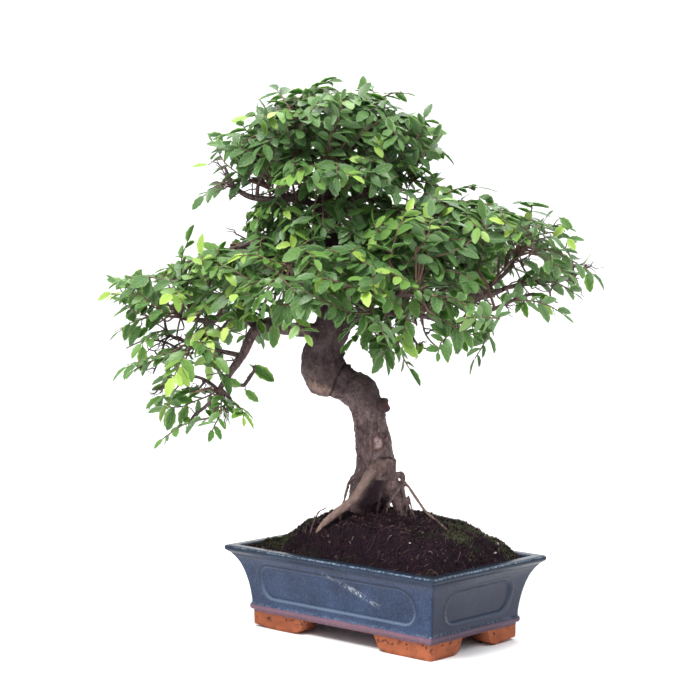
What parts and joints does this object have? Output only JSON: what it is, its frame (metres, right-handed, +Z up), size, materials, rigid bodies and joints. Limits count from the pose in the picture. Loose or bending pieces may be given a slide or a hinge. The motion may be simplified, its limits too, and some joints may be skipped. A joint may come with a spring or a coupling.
{
  "type": "chinese elm bonsai",
  "caption": "Chinese elm bonsai with an S-bent trunk, tiered leafy boughs and surface roots, standing in a mound of soil in a rectangular glazed pot with corner feet.",
  "frame": {"origin": "bottom centre of the box around the whole bonsai, on the surface the pot stands on", "axes": "+Z up; X along the long side of the pot and Y along its short side; the picture looks from -Y and +X, 41 degrees round from the long side"},
  "size_m": [0.41, 0.3906, 0.5182],
  "materials": {
    "glazed_stoneware": "gloss",
    "net_plastic": "matte",
    "potting_soil": "matte",
    "elm_bark": "matte",
    "elm_leaf": "satin"
  },
  "bodies": {
    "root": {"pot": "glazed_stoneware", "drain_net_left": "net_plastic", "drain_net_right": "net_plastic", "soil": "potting_soil", "tree_wood": "elm_bark", "leafy_stem_01": "elm_leaf", "leafy_stem_02": "elm_leaf", "leafy_stem_03": "elm_leaf", "leafy_stem_04": "elm_leaf", "leafy_stem_05": "elm_leaf", "leafy_stem_06": "elm_leaf", "leafy_stem_07": "elm_leaf", "leafy_stem_08": "elm_leaf", "leafy_stem_09": "elm_leaf", "leafy_stem_10": "elm_leaf", "leafy_stem_11": "elm_leaf", "leafy_stem_12": "elm_leaf", "leafy_stem_13": "elm_leaf", "leafy_stem_14": "elm_leaf", "leafy_stem_15": "elm_leaf", "leafy_stem_16": "elm_leaf", "leafy_stem_17": "elm_leaf", "leafy_stem_18": "elm_leaf", "leafy_stem_19": "elm_leaf", "leafy_stem_20": "elm_leaf", "leafy_stem_21": "elm_leaf", "leafy_stem_22": "elm_leaf", "leafy_stem_23": "elm_leaf", "leafy_stem_24": "elm_leaf", "leafy_stem_25": "elm_leaf", "leafy_stem_26": "elm_leaf", "leafy_stem_27": "elm_leaf", "leafy_stem_28": "elm_leaf", "leafy_stem_29": "elm_leaf", "leafy_stem_30": "elm_leaf", "leafy_stem_31": "elm_leaf", "leafy_stem_32": "elm_leaf", "leafy_stem_33": "elm_leaf", "leafy_stem_34": "elm_leaf", "leafy_stem_35": "elm_leaf", "leafy_stem_36": "elm_leaf", "leafy_stem_37": "elm_leaf", "leafy_stem_38": "elm_leaf", "leafy_stem_39": "elm_leaf", "leafy_stem_40": "elm_leaf", "leafy_stem_41": "elm_leaf", "leafy_stem_42": "elm_leaf", "leafy_stem_43": "elm_leaf", "leafy_stem_44": "elm_leaf", "leafy_stem_45": "elm_leaf", "leafy_stem_46": "elm_leaf", "leafy_stem_47": "elm_leaf", "leafy_stem_48": "elm_leaf", "leafy_stem_49": "elm_leaf", "leafy_stem_50": "elm_leaf", "leafy_stem_51": "elm_leaf", "leafy_stem_52": "elm_leaf", "leafy_stem_53": "elm_leaf", "leafy_stem_54": "elm_leaf", "leafy_stem_55": "elm_leaf"}
  },
  "joints": []
}
